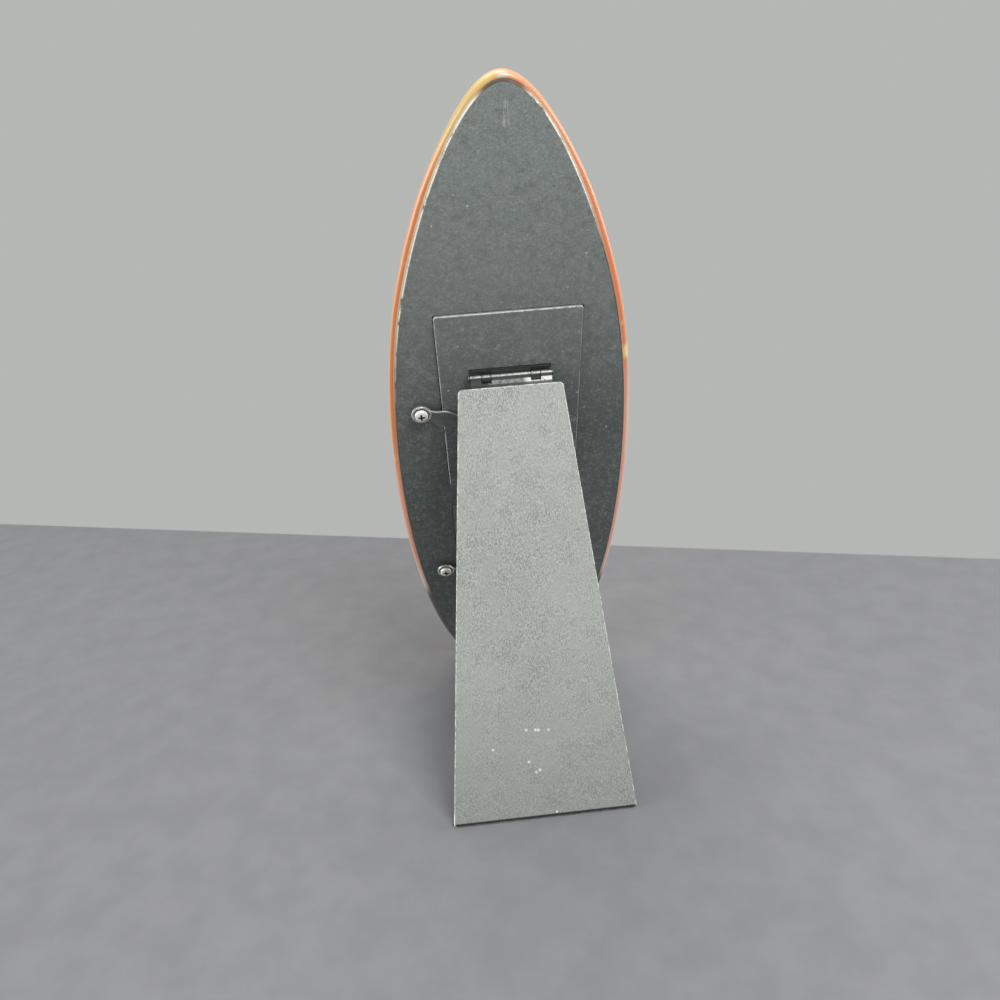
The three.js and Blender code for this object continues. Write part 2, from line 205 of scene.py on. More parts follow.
# The two frames in metres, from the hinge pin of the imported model, and the directions that ramps follow.
PIN = Vector(next(j for j in frame["joints"] if j["name"] == "leg_fold")["pos_m"])
TILT = Matrix.Rotation(-LEAN, 4, "X")
BOARD = Matrix.Translation(PIN - TILT @ Vector((0, PIN_Y * MM, PIN_Z * MM))) @ TILT
LEG = Matrix.Translation(PIN) @ Matrix.Rotation(LEG_OPEN - LEAN, 4, "X")
ACROSS = Vector((1, 0, 0))
UP_BOARD = TILT @ Vector((0, 0, 1))
OUT_BOARD = TILT @ Vector((0, 1, 0))
UP_LEG = (LEG.to_3x3() @ Vector((0, 0, 1))).normalized()
FACE_AT = OUT_BOARD.dot(BOARD.translation)
FOOT_AT = UP_BOARD.dot(BOARD.translation)
PIN_AT = UP_LEG.dot(PIN)
TAIL_Y = BOARD.translation.y


# Outlines
def bezier(p0, p1, p2, p3, steps):
    """Points of a cubic curve, without its last one."""
    p0, p1, p2, p3 = (np.array(p, float) for p in (p0, p1, p2, p3))
    t = np.linspace(0, 1, steps, endpoint=False)[:, None]
    return (1 - t) ** 3 * p0 + 3 * (1 - t) ** 2 * t * p1 + 3 * (1 - t) * t**2 * p2 + t**3 * p3


def arc(steps, first, last):
    """Angles from first to last degrees."""
    return [math.radians(a) for a in np.linspace(first, last, steps)]


def board_outline():
    """Closed plan outline of the flat back, from the nose round to the nose, in x and z."""
    slope = np.array([math.sin(SHOULDER_SLOPE), -math.cos(SHOULDER_SLOPE)])
    shoulder = np.array([SHOULDER_X, SHOULDER_Z])
    wide = (WIDE_X, WIDE_Z)
    tail = np.array([TAIL_X, TAIL_Z])
    corner = np.array([CORNER_X, FLAT_Z])
    flat = np.array([FLAT_X, FLAT_Z])
    # The last curve bends at one corner point, so its handles go two thirds of the way there.
    half = np.vstack([
        bezier((0, NOSE_Z), (NOSE_ROUND, NOSE_Z), shoulder - SHOULDER_UP * slope, shoulder, steps=44),
        bezier(shoulder, shoulder + SHOULDER_DOWN * slope, (WIDE_X, WIDE_Z + WIDE_UP), wide, steps=34),
        bezier(wide, (WIDE_X, WIDE_Z - WIDE_DOWN), (BEND_X, BEND_Z), tail, steps=40),
        bezier(tail, tail + (corner - tail) * 2 / 3, flat + (corner - flat) * 2 / 3, flat, steps=10),
        [flat],
    ])
    other = half[1:][::-1] * (-1, 1)
    return np.vstack([half, other])


def eased(corners, reach, steps=8):
    """A polygon with each corner eased by a quadratic curve of the given reach."""
    corners = [np.array(c, float) for c in corners]
    points = []
    for i, c in enumerate(corners):
        before, after = corners[i - 1], corners[(i + 1) % len(corners)]
        a = c + (before - c) / np.linalg.norm(before - c) * reach
        b = c + (after - c) / np.linalg.norm(after - c) * reach
        for t in np.linspace(0, 1, steps):
            points.append((1 - t) ** 2 * a + 2 * (1 - t) * t * c + t**2 * b)
    return np.array(points)


def window(width, height, z):
    """A rectangle with eased corners, its middle at height z."""
    x, h = width / 2, height / 2
    return eased([(-x, z - h), (-x, z + h), (x, z + h), (x, z - h)], PANEL_CORNER)


def rebate(z):
    """The opening that a panel lies in."""
    return window(PANEL_W + 2 * SEAT, PANEL_H + 2 * SEAT, z)


def teardrop():
    """Outline of a turn button, round its ring and out to the end of the blade, clockwise.

    The shares of neck_x, wide_x and BLADE_HALF place the curve handles.
    """
    neck = math.radians(NECK_AT)
    neck_x, neck_z = RING * math.cos(neck), RING * math.sin(neck)
    wide_x = -WIDEST_AT * BLADE
    around = [(RING * math.cos(a), RING * math.sin(a)) for a in arc(41, -NECK_AT, NECK_AT)]
    swell = ((neck_x, neck_z), (2.2 * neck_x, WAIST), (0.7 * wide_x, BLADE_HALF), (wide_x, BLADE_HALF))
    end = ((wide_x, BLADE_HALF), (1.3 * wide_x, BLADE_HALF), (-BLADE, 0.6 * BLADE_HALF), (-BLADE, 0))
    upper_edge = np.vstack([around[:-1], bezier(*swell, steps=14), bezier(*end, steps=12)])
    lower_edge = upper_edge[len(around):][::-1] * (1, -1)
    return np.vstack([upper_edge, [(-BLADE, 0)], lower_edge])[::-1]


def outward(loop):
    """Unit normals of a clockwise loop, pointing out."""
    along = np.roll(loop, -1, 0) - np.roll(loop, 1, 0)
    along /= np.linalg.norm(along, axis=1)[:, None]
    return np.column_stack([-along[:, 1], along[:, 0]])


def slimmed(loop):
    """Share of the full rail width at each point of the outline."""
    t = np.clip((loop[:, 1] - SLIM_FROM) / (SLIM_TO - SLIM_FROM), 0, 1)
    return 1 - (1 - NOSE_SLIM) * t * t * (3 - 2 * t)


def round_over(radius, y, angles):
    """Rings that round an edge off, from the face at y to the side below it."""
    return [(-radius * (1 - math.sin(a)), y - radius * (1 - math.cos(a))) for a in angles]


# Meshes
def stacked(name, loop, rings, place, bands=(), share=1.0):
    """A closed solid from rings of (offset from the loop, y). bands gives a material index per ring gap.

    share scales the offsets that go outward, for the whole loop or point by point.
    """
    normals = outward(loop)
    bm = bmesh.new()
    levels = []
    for offset, y in rings:
        reach = offset * share if offset > 0 else offset
        points = loop + normals * np.broadcast_to(reach, len(loop))[:, None]
        levels.append([bm.verts.new((x, y, z)) for x, z in points])
    count = len(loop)
    for k in range(len(levels) - 1):
        for i in range(count):
            j = (i + 1) % count
            face = bm.faces.new((levels[k][i], levels[k][j], levels[k + 1][j], levels[k + 1][i]))
            face.material_index = bands[k] if k < len(bands) else 0
    bm.faces.new(levels[0])
    bm.faces.new(levels[-1][::-1])
    bmesh.ops.recalc_face_normals(bm, faces=bm.faces)
    bm.transform(place @ Matrix.Scale(MM, 4))
    mesh = bpy.data.meshes.new(name)
    bm.to_mesh(mesh)
    bm.free()
    piece = bpy.data.objects.new(name, mesh)
    bpy.context.scene.collection.objects.link(piece)
    return piece


def box(name, low, high, place):
    """A block between two corners."""
    x0, y0, z0 = low
    x1, y1, z1 = high
    loop = np.array([(x0, z0), (x0, z1), (x1, z1), (x1, z0)], float)
    return stacked(name, loop, [(0, y1), (0, y0)], place)


def under_table(lift=0.0):
    """A block of everything below the table, with its top raised by lift."""
    return box("table_cut", (-FAR, -FAR, -FAR), (FAR, FAR, lift), Matrix.Identity(4))


def carve(piece, cutters):
    """Cuts the cutters out of the piece for good."""
    for cutter in cutters:
        step = piece.modifiers.new("cut", "BOOLEAN")
        step.operation = "DIFFERENCE"
        step.solver = "EXACT"
        step.object = cutter
    bpy.context.view_layer.update()
    shape = piece.evaluated_get(bpy.context.evaluated_depsgraph_get())
    mesh = bpy.data.meshes.new_from_object(shape)
    piece.modifiers.clear()
    old, piece.data = piece.data, mesh
    bpy.data.meshes.remove(old)
    for cutter in cutters:
        bpy.data.objects.remove(cutter)


def rounded(piece, width):
    """Rounds the sharp edges by width."""
    edge = piece.modifiers.new("edge", "BEVEL")
    edge.width = width * MM
    edge.segments = EDGE_SEGMENTS
    edge.limit_method = "ANGLE"
    edge.angle_limit = EDGE_ANGLE


def smooth(piece, sharp=None):
    """Shades the piece smooth, apart from edges that turn by more than sharp degrees."""
    for face in piece.data.polygons:
        face.use_smooth = True
    if sharp is not None:
        piece.data.set_sharp_from_angle(angle=math.radians(sharp))
    even = piece.modifiers.new("even", "WEIGHTED_NORMAL")
    even.keep_sharp = True


def on_board(x, y, z):
    """A point of the board frame, in metres."""
    return BOARD @ Vector((x * MM, y * MM, z * MM))


def on_leg(x, y, z):
    """A point of the leg frame, in metres."""
    return LEG @ Vector((x * MM, y * MM, z * MM))


# Shader nodes
def material(name):
    """A new material, its node tree and its shader."""
    made = bpy.data.materials.new(name)
    made.use_nodes = True
    tree = made.node_tree
    tree.nodes.clear()
    out = tree.nodes.new("ShaderNodeOutputMaterial")
    shader = tree.nodes.new("ShaderNodeBsdfPrincipled")
    tree.links.new(shader.outputs[0], out.inputs[0])
    return made, tree, shader


def put(tree, target, value):
    """Links a socket to the target, or sets the target to a plain value."""
    if isinstance(value, bpy.types.NodeSocket):
        tree.links.new(value, target)
    elif target.type == "RGBA":
        target.default_value = (*value, 1)
    else:
        target.default_value = value


def place_of(tree, turn=0.0, scale=(1, 1, 1)):
    """The piece's own coordinates, turned about x and scaled."""
    coord = tree.nodes.new("ShaderNodeTexCoord")
    turned = tree.nodes.new("ShaderNodeMapping")
    turned.inputs["Rotation"].default_value = (turn, 0, 0)
    scaled = tree.nodes.new("ShaderNodeMapping")
    scaled.inputs["Scale"].default_value = scale
    tree.links.new(coord.outputs["Object"], turned.inputs["Vector"])
    tree.links.new(turned.outputs[0], scaled.inputs["Vector"])
    return scaled.outputs[0]


def noise(tree, vector, scale, detail, rough):
    """Cloudy noise with scale lumps a metre."""
    n = tree.nodes.new("ShaderNodeTexNoise")
    tree.links.new(vector, n.inputs["Vector"])
    n.inputs["Scale"].default_value = scale
    n.inputs["Detail"].default_value = detail
    n.inputs["Roughness"].default_value = rough
    return n.outputs["Fac"]


def cells(tree, vector, scale):
    """A lattice of scale cells a metre."""
    n = tree.nodes.new("ShaderNodeTexVoronoi")
    tree.links.new(vector, n.inputs["Vector"])
    n.inputs["Scale"].default_value = scale
    return n


def spread(tree, value, low, high, to_low=0.0, to_high=1.0):
    """Maps low..high of value to to_low..to_high, smoothly and clamped."""
    n = tree.nodes.new("ShaderNodeMapRange")
    n.interpolation_type = "SMOOTHSTEP"
    put(tree, n.inputs["Value"], value)
    for key, number in (("From Min", low), ("From Max", high), ("To Min", to_low), ("To Max", to_high)):
        n.inputs[key].default_value = number
    return n.outputs["Result"]


def math_node(tree, operation, a, b):
    """An operation on two values, clamped to 0..1."""
    n = tree.nodes.new("ShaderNodeMath")
    n.operation = operation
    n.use_clamp = True
    put(tree, n.inputs[0], a)
    put(tree, n.inputs[1], b)
    return n.outputs[0]


def both(tree, mask, *others):
    """Masks multiplied."""
    for other in others:
        mask = math_node(tree, "MULTIPLY", mask, other)
    return mask


def either(tree, mask, *others):
    """The strongest of several masks."""
    for other in others:
        mask = math_node(tree, "MAXIMUM", mask, other)
    return mask


def blend(tree, factor, a, b):
    """Colour a where the factor is 0, b where it is 1."""
    n = tree.nodes.new("ShaderNodeMix")
    n.data_type = "RGBA"
    put(tree, n.inputs["Factor"], factor)
    put(tree, n.inputs["A"], a)
    put(tree, n.inputs["B"], b)
    return n.outputs["Result"]


def measured(tree, operation, vector):
    """The point's place in the piece's own coordinates against a vector, in metres."""
    coord = tree.nodes.new("ShaderNodeTexCoord")
    n = tree.nodes.new("ShaderNodeVectorMath")
    n.operation = operation
    tree.links.new(coord.outputs["Object"], n.inputs[0])
    n.inputs[1].default_value = vector
    return n.outputs["Value"]


def ramp(tree, direction, start, low, high, to_low=0.0, to_high=1.0):
    """Maps the way along a direction, low..high millimetres past start, to to_low..to_high."""
    way = measured(tree, "DOT_PRODUCT", direction)
    return spread(tree, way, start + low * MM, start + high * MM, to_low, to_high)


def across(tree, *span):
    """A ramp over x."""
    return ramp(tree, ACROSS, 0, *span)


def up_board(tree, *span):
    """A ramp over heights on the board."""
    return ramp(tree, UP_BOARD, FOOT_AT, *span)


def out_board(tree, *span):
    """A ramp over y of the board."""
    return ramp(tree, OUT_BOARD, FACE_AT, *span)


def up_leg(tree, *span):
    """A ramp over heights on the leg."""
    return ramp(tree, UP_LEG, PIN_AT, *span)


def near(tree, point, radius, core=0.35):
    """1 in the core of a spot, falling to 0 at its radius."""
    away = measured(tree, "DISTANCE", point)
    return spread(tree, away, core * radius * MM, radius * MM, 1, 0)


def specks(tree, vector, scale, radius, share, core=0.6, soft=0.1):
    """Rare small dots: a share of a lattice's cells hold one, with its radius in cell widths."""
    lattice = cells(tree, vector, scale)
    pick = tree.nodes.new("ShaderNodeSeparateColor")
    tree.links.new(lattice.outputs["Color"], pick.inputs[0])
    dot = spread(tree, lattice.outputs["Distance"], core * radius, radius, 1, 0)
    return both(tree, dot, spread(tree, pick.outputs[0], 1 - share, 1 - share + soft))


def coat(tree, shader, colour, rough):
    """Sets the shader's colour and roughness."""
    put(tree, shader.inputs["Base Color"], colour)
    put(tree, shader.inputs["Roughness"], rough)


def bump(tree, shader, height, depth, strength, below=None):
    """Raises the surface by the height, up to depth millimetres, on top of another bump if one is given."""
    n = tree.nodes.new("ShaderNodeBump")
    n.inputs["Strength"].default_value = strength
    n.inputs["Distance"].default_value = depth * MM
    tree.links.new(height, n.inputs["Height"])
    if below is not None:
        tree.links.new(below, n.inputs["Normal"])
    tree.links.new(n.outputs[0], shader.inputs["Normal"])
    return n.outputs[0]


# Black paint of the back and the panels. All colours are linear.
BLACK_DEEP = (0.088, 0.107, 0.103)
BLACK_WORN = (0.112, 0.132, 0.128)
NOSE_SHEEN = (0.3, 0.332, 0.31)
# Painted sheen, lightening the black towards the nose.
SCUFF_PALE = (0.34, 0.37, 0.36)
SCUFF_DARK = (0.075, 0.088, 0.085)
FLECK_PALE = (0.44, 0.475, 0.46)
FLECK_DARK = (0.06, 0.07, 0.067)
GRAIN_DARK = (0.07, 0.083, 0.08)
SMEAR = (0.3, 0.325, 0.315)
SPECK = (0.6, 0.62, 0.61)
SCRATCH = (0.55, 0.58, 0.56)


def scratches(tree):
    """A short column of upright scratches at the nose."""
    streak = noise(tree, place_of(tree, LEAN, (1, 1, 0.12)), 900, 3, 0.6)
    column = either(tree, *[near(tree, on_board(SCRATCH_X, 0, z), SCRATCH_R) for z in SCRATCH_Z])
    return both(tree, column, spread(tree, streak, 0.46, 0.58, 0, 0.6))


def black_sheet():
    """Faded black paint with orange peel, mottling, a painted sheen that lightens it towards the nose, and
    specks.
    """
    made, tree, shader = material("black_sheet")
    here = place_of(tree)
    cloud = noise(tree, here, 26, 6, 0.6)
    scuff = noise(tree, here, 330, 5, 0.62)
    blotch = noise(tree, here, 1000, 4, 0.65)
    grain = noise(tree, here, 2200, 2, 0.6)
    smear = noise(tree, place_of(tree, 0, (1, 1, 0.3)), 60, 5, 0.65)
    flecks = both(tree, spread(tree, blotch, 0.52, 0.69, 0, 0.5), spread(tree, scuff, 0.35, 0.6, 0.5, 1))
    dust = either(tree, specks(tree, here, 150, 0.075, 0.34), specks(tree, here, 230, 0.07, 0.14))
    colour = blend(tree, spread(tree, cloud, 0.3, 0.7), BLACK_DEEP, BLACK_WORN)
    # Painted sheen: the black turns lighter towards the nose.
    colour = blend(tree, up_board(tree, 130, 300), colour, NOSE_SHEEN)
    colour = blend(tree, spread(tree, scuff, 0.5, 0.72, 0, 0.34), colour, SCUFF_PALE)
    colour = blend(tree, spread(tree, scuff, 0.5, 0.3, 0, 0.28), colour, SCUFF_DARK)
    colour = blend(tree, flecks, colour, FLECK_PALE)
    colour = blend(tree, spread(tree, blotch, 0.47, 0.3, 0, 0.3), colour, FLECK_DARK)
    colour = blend(tree, spread(tree, grain, 0.35, 0.65, 0.3, 0), colour, GRAIN_DARK)
    colour = blend(tree, spread(tree, smear, 0.58, 0.8, 0, 0.3), colour, SMEAR)
    colour = blend(tree, both(tree, dust, 0.8), colour, SPECK)
    colour = blend(tree, scratches(tree), colour, SCRATCH)
    coat(tree, shader, colour, spread(tree, cloud, 0.3, 0.7, 0.42, 0.58))
    bump(tree, shader, blotch, 0.4, 0.35)
    return made


# Rim of the black face, and the edges of panels and leg.
# RIM_DARK and RIM_BROWN are dark brown edge paint that also stands for a painted shadow line between rail
# and black face.
RIM_DARK = (0.07, 0.05, 0.04)
RIM_BROWN = (0.17, 0.08, 0.045)
PRIMER_WHITE = (0.76, 0.72, 0.63)
CHIP_WHITE = (0.9, 0.9, 0.87)


def primer(tree):
    """Where the rim is rubbed through: the upper board, lower on the +X side, short of the very tip."""
    left = both(tree, up_board(tree, 165, 230), across(tree, 0, 4))
    right = both(tree, up_board(tree, 235, 272), across(tree, 0, -4))
    below_tip = up_board(tree, 291.5, 295.5, 1, 0)
    return both(tree, either(tree, left, right), below_tip)


def worn_edge():
    """The rim of the black face: dark brown edge paint, darkened as a painted shadow line between rail and
    black face, rubbed through to white primer except at the very tip.
    """
    made, tree, shader = material("worn_edge")
    here = place_of(tree)
    rub = noise(tree, here, 150, 5, 0.7)
    fine = noise(tree, here, 700, 2, 0.6)
    bare = both(tree, primer(tree), spread(tree, rub, 0.32, 0.48))
    colour = blend(tree, spread(tree, rub, 0.4, 0.65), RIM_DARK, RIM_BROWN)
    colour = blend(tree, bare, colour, PRIMER_WHITE)
    coat(tree, shader, colour, spread(tree, fine, 0.3, 0.7, 0.45, 0.7))
    bump(tree, shader, rub, 0.3, 0.3)
    return made


def rubbed_edge(name, worn, sound, level, chip=None, faint=None):
    """A wrapped edge rubbed through in a broken line, bare at a chip, and kept dim as painted shade past an
    x if one is given.
    """
    made, tree, shader = material(name)
    here = place_of(tree)
    rub = noise(tree, here, 420, 4, 0.7)
    fine = noise(tree, here, 1500, 2, 0.6)
    bare = spread(tree, rub, level - 0.12, level + 0.12)
    # Painted shade: the edge stays dim past the given x.
    if faint is not None:
        bare = both(tree, bare, across(tree, faint, faint + 1, 0.3, 1))
    colour = blend(tree, bare, sound, worn)
    colour = blend(tree, spread(tree, fine, 0.3, 0.7, 0, 0.3), colour, sound)
    if chip is not None:
        colour = blend(tree, near(tree, chip, LEG_CHIP_R), colour, CHIP_WHITE)
    coat(tree, shader, colour, spread(tree, rub, 0.3, 0.7, 0.6, 0.4))
    bump(tree, shader, fine, 0.2, 0.3)
    return made


# Rail paint; a pair runs from the -X side to the +X side.
RAIL_SIDE = ((0.84, 0.27, 0.1), (0.86, 0.3, 0.07))
# RAIL_SHELF is orange paint made paler, partly as a painted reflection along the rail's outer edge.
RAIL_SHELF = ((0.76, 0.32, 0.17), (0.8, 0.38, 0.18))
RAIL_MIDDLE = ((0.7, 0.21, 0.08), (0.6, 0.19, 0.055))
RAIL_PALE_GLARE = ((0.82, 0.46, 0.37), (0.74, 0.38, 0.28))
RAIL_PATCH = (0.82, 0.34, 0.15)
RAIL_INNER = (0.8, 0.42, 0.25)
RAIL_THIN_GLARE = (0.62, 0.52, 0.45)
RAIL_RUBBED = (0.8, 0.5, 0.33)
RAIL_CREAM = (0.74, 0.66, 0.5)
NOSE_YELLOW = (0.58, 0.43, 0.16)
NOSE_PEACH = (0.62, 0.3, 0.16)
NOSE_CHIP = (0.5, 0.51, 0.43)
# Painted shadow line at the nose tip.
NOSE_SHADOW_LINE = (0.17, 0.15, 0.09)
YELLOW_SPOT = (0.88, 0.7, 0.3)
TAIL_BLACK = (0.09, 0.1, 0.097)
FRONT_LOW = (0.66, 0.16, 0.04)
FRONT_HIGH = (0.82, 0.42, 0.08)
FRONT_DEEP = (0.5, 0.13, 0.03)
STRINGER = (0.16, 0.07, 0.03)
# The painted glare that pales the low stretch of the shelf ends on a slant: this much of x is added to the
# height.
PALE_SLANT = 0.35


def two_sided(tree, pair):
    """A colour that changes from one side of the board to the other."""
    return blend(tree, across(tree, -40, 40), *pair)


def rail_bands(tree, here, shelf, inner):
    """Orange in bands from the side of the rail, over its shelf, to its inner edge; the shelf is paler
    partly as a painted reflection, and painted glare makes it paler still and greyer low down.
    """
    patch = noise(tree, here, 22, 4, 0.6)
    # Painted glare: the shelf turns pale low down, and pale grey where the rail is thin near the tail.
    slant = ramp(tree, UP_BOARD + PALE_SLANT * ACROSS, FOOT_AT, 190, 145, 0, 0.8)
    middle = out_board(tree, -1.6, -1.3, 0, 0.85)
    thin = both(tree, up_board(tree, 90, 66, 0, 0.75), shelf)
    # Paler shelf: orange paint, partly a painted reflection.
    orange = blend(tree, shelf, two_sided(tree, RAIL_SIDE), two_sided(tree, RAIL_SHELF))
    orange = blend(tree, spread(tree, patch, 0.35, 0.7, 0, 0.35), orange, RAIL_PATCH)
    orange = blend(tree, middle, orange, two_sided(tree, RAIL_MIDDLE))
    orange = blend(tree, both(tree, inner, 0.7), orange, RAIL_INNER)
    orange = blend(tree, both(tree, slant, shelf), orange, two_sided(tree, RAIL_PALE_GLARE))
    return blend(tree, thin, orange, RAIL_THIN_GLARE)


def rail_marks(tree, colour, here, fine, shelf, inner):
    """Yellow and peach at the nose, a spot, a chip, rubbed patches, bare primer, a painted shadow line at
    the nose tip, and black ends.
    """
    tip = up_board(tree, 265, 288)
    yellow = both(tree, tip, across(tree, 0, 4), 0.85)
    peach = both(tree, tip, across(tree, 0, -4), 0.7)
    spot = both(tree, near(tree, on_board(*SPOT_AT), SPOT_R), 0.8)
    chip = both(tree, near(tree, on_board(*NOSE_CHIP_AT), NOSE_CHIP_R), spread(tree, fine, 0.3, 0.45), 0.8)
    rubbed = both(tree, spread(tree, noise(tree, here, 95, 5, 0.7), 0.6, 0.72), 0.45)
    cream = both(tree, inner, primer(tree), spread(tree, fine, 0.3, 0.5, 0.5, 0.9))
    # Painted shadow: a dark olive line along the inner edge of the rail at the nose tip.
    shadow_line = both(tree, inner, up_board(tree, 293.5, 296.5, 0, 0.8))
    tail = both(tree, up_board(tree, 64, 52), shelf)
    colour = blend(tree, yellow, colour, NOSE_YELLOW)
    colour = blend(tree, peach, colour, NOSE_PEACH)
    colour = blend(tree, spot, colour, YELLOW_SPOT)
    colour = blend(tree, chip, colour, NOSE_CHIP)
    colour = blend(tree, rubbed, colour, RAIL_RUBBED)
    colour = blend(tree, cream, colour, RAIL_CREAM)
    colour = blend(tree, shadow_line, colour, NOSE_SHADOW_LINE)
    return blend(tree, tail, colour, TAIL_BLACK)


def plain_front(tree, fine):
    """The front: an orange fade with one dark line down the middle."""
    stringer = both(tree, across(tree, -0.8, -0.5), across(tree, 0.8, 0.5))
    fade = blend(tree, up_board(tree, 20, 280), FRONT_LOW, FRONT_HIGH)
    fade = blend(tree, spread(tree, fine, 0.3, 0.75, 0, 0.2), fade, FRONT_DEEP)
    return blend(tree, stringer, fade, STRINGER)


def rail_paint():
    """Satin orange paint, yellower at one side of the nose, with chips, wear and a plain front."""
    made, tree, shader = material("rail_paint")
    here = place_of(tree)
    fine = noise(tree, here, 420, 4, 0.65)
    shelf = out_board(tree, -3.4, -2.4)
    inner = out_board(tree, -0.9, -0.85)
    front = out_board(tree, FRONT_Y + 1.2, FRONT_Y + 0.4)
    colour = rail_bands(tree, here, shelf, inner)
    colour = rail_marks(tree, colour, here, fine, shelf, inner)
    colour = blend(tree, front, colour, plain_front(tree, fine))
    coat(tree, shader, colour, spread(tree, fine, 0.3, 0.7, 0.28, 0.44))
    shader.inputs["Coat Weight"].default_value = 0.25
    shader.inputs["Coat Roughness"].default_value = 0.36
    bump(tree, shader, fine, 0.2, 0.2)
    return made


# Grained wrap of the leg.
WRAP_DARK = (0.2, 0.215, 0.2)
WRAP_PALE = (0.48, 0.51, 0.48)
WRAP_FLAT = (0.325, 0.35, 0.325)
WRAP_CLOUD = (0.42, 0.445, 0.418)
WRAP_DULL = (0.22, 0.236, 0.22)
WRAP_LOW_SHADE = (0.16, 0.172, 0.163)
NICK_WHITE = (0.8, 0.82, 0.8)
FOOT_SHADOW = (0.02, 0.024, 0.022)


def leatherette():
    """Grained paper wrap: fine upright pebbles, a soft sheen, white nicks low on the face, painted shade
    that darkens it towards the foot, and a painted shadow along the foot.
    """
    made, tree, shader = material("leg_wrap")
    upright = place_of(tree, LEAN - LEG_OPEN, (1, 1, 0.45))
    here = place_of(tree)
    pebble = cells(tree, upright, 2100).outputs["Distance"]
    grain = noise(tree, upright, 2300, 4, 0.65)
    cloud = noise(tree, here, 24, 5, 0.6)
    flat = noise(tree, here, 110, 4, 0.6)
    nicks = [near(tree, on_leg(x, LEG_OUT, z), r) for x, z, r in NICKS]
    marks = either(tree, specks(tree, here, 120, 0.05, 0.2), *nicks)
    colour = blend(tree, spread(tree, grain, 0.36, 0.64), WRAP_DARK, WRAP_PALE)
    colour = blend(tree, spread(tree, flat, 0.4, 0.65, 0, 0.65), colour, WRAP_FLAT)
    colour = blend(tree, spread(tree, cloud, 0.35, 0.7, 0, 0.4), colour, WRAP_CLOUD)
    colour = blend(tree, spread(tree, flat, 0.5, 0.3, 0, 0.3), colour, WRAP_DULL)
    # Painted shade: the wrap darkens towards the foot.
    colour = blend(tree, up_leg(tree, -100, -190, 0, 0.3), colour, WRAP_LOW_SHADE)
    colour = blend(tree, both(tree, marks, 0.85), colour, NICK_WHITE)
    # Painted shadow: a black band along the bottom of the leg, for the shade under its edge.
    colour = blend(tree, up_leg(tree, FOOT_SHADOW_Z, FOOT_SHADOW_Z - 0.6), colour, FOOT_SHADOW)
    coat(tree, shader, colour, spread(tree, grain, 0.3, 0.7, 0.4, 0.56))
    pebbled = bump(tree, shader, pebble, 0.3, 0.3)
    bump(tree, shader, grain, 0.3, 0.4, pebbled)
    return made


def metal(name, colour, rough, dirt, level, metallic):
    """Plated or painted steel, rubbed bright where the noise passes the level, grimy elsewhere."""
    made, tree, shader = material(name)
    here = place_of(tree)
    wear = noise(tree, here, 300, 5, 0.6)
    fine = noise(tree, here, 2600, 3, 0.7)
    base = blend(tree, spread(tree, wear, level - 0.1, level + 0.1), dirt, colour)
    base = blend(tree, spread(tree, fine, 0.35, 0.7, 0, 0.25), base, dirt)
    coat(tree, shader, base, spread(tree, wear, 0.3, 0.7, rough + 0.12, rough - 0.06))
    shader.inputs["Metallic"].default_value = metallic
    bump(tree, shader, fine, 0.04, 0.25)
    return made


# Hinge steel.
HINGE_DARK = (0.16, 0.165, 0.16)
HINGE_GREY = (0.3, 0.305, 0.295)
HINGE_GLINT = (0.8, 0.8, 0.77)
HINGE_BLACK = (0.04, 0.043, 0.041)
HINGE_CREST_HIGHLIGHT = (0.38, 0.385, 0.37)


def knuckle_metal(name, grey):
    """Black japanned hinge steel with a painted highlight along the crest of the barrel and a painted glint
    towards -X; grey makes the leaf below bare, apart from painted shade under the barrel, above the leg and
    at the +X end.
    """
    made, tree, shader = material(name)
    here = place_of(tree)
    wear = noise(tree, here, 900, 4, 0.6)
    fine = noise(tree, here, 2600, 3, 0.7)
    # Painted glint: a bright patch towards -X on the bare leaf, broken up by the noise.
    bright = both(tree, across(tree, -4, -7), spread(tree, wear, 0.25, 0.5))
    # Painted shade: the bare leaf is kept black in the gap under the barrel, darkened just above the leg's
    # top edge, and kept black at the +X end.
    below = up_leg(tree, -0.7, -1.2, 0, grey)
    below = both(tree, below, across(tree, 9.5, 8.5, 0.1, 1), up_leg(tree, -2.8, -2.2, 0.12, 1))
    # Painted highlight: a light line along the crest of the barrel, broken up by the noise.
    crest = both(tree, up_leg(tree, 0.3, 0.6), up_leg(tree, 1.4, 1))
    crest = both(tree, crest, spread(tree, wear, 0.3, 0.55, 0.2, 0.9))
    colour = blend(tree, spread(tree, wear, 0.35, 0.65), HINGE_DARK, HINGE_GREY)
    colour = blend(tree, bright, colour, HINGE_GLINT)
    colour = blend(tree, below, HINGE_BLACK, colour)
    colour = blend(tree, crest, colour, HINGE_CREST_HIGHLIGHT)
    coat(tree, shader, colour, spread(tree, fine, 0.3, 0.7, 0.3, 0.5))
    shader.inputs["Metallic"].default_value = 0.3
    bump(tree, shader, fine, 0.04, 0.25)
    return made


def paper(name, light, dark, scale):
    """Uncoated card with fibres."""
    made, tree, shader = material(name)
    fibre = noise(tree, place_of(tree, -LEAN, (1, 1, 0.2)), scale, 5, 0.7)
    colour = blend(tree, spread(tree, fibre, 0.3, 0.7), dark, light)
    coat(tree, shader, colour, spread(tree, fibre, 0.3, 0.7, 0.55, 0.8))
    bump(tree, shader, fibre, 0.1, 0.25)
    return made


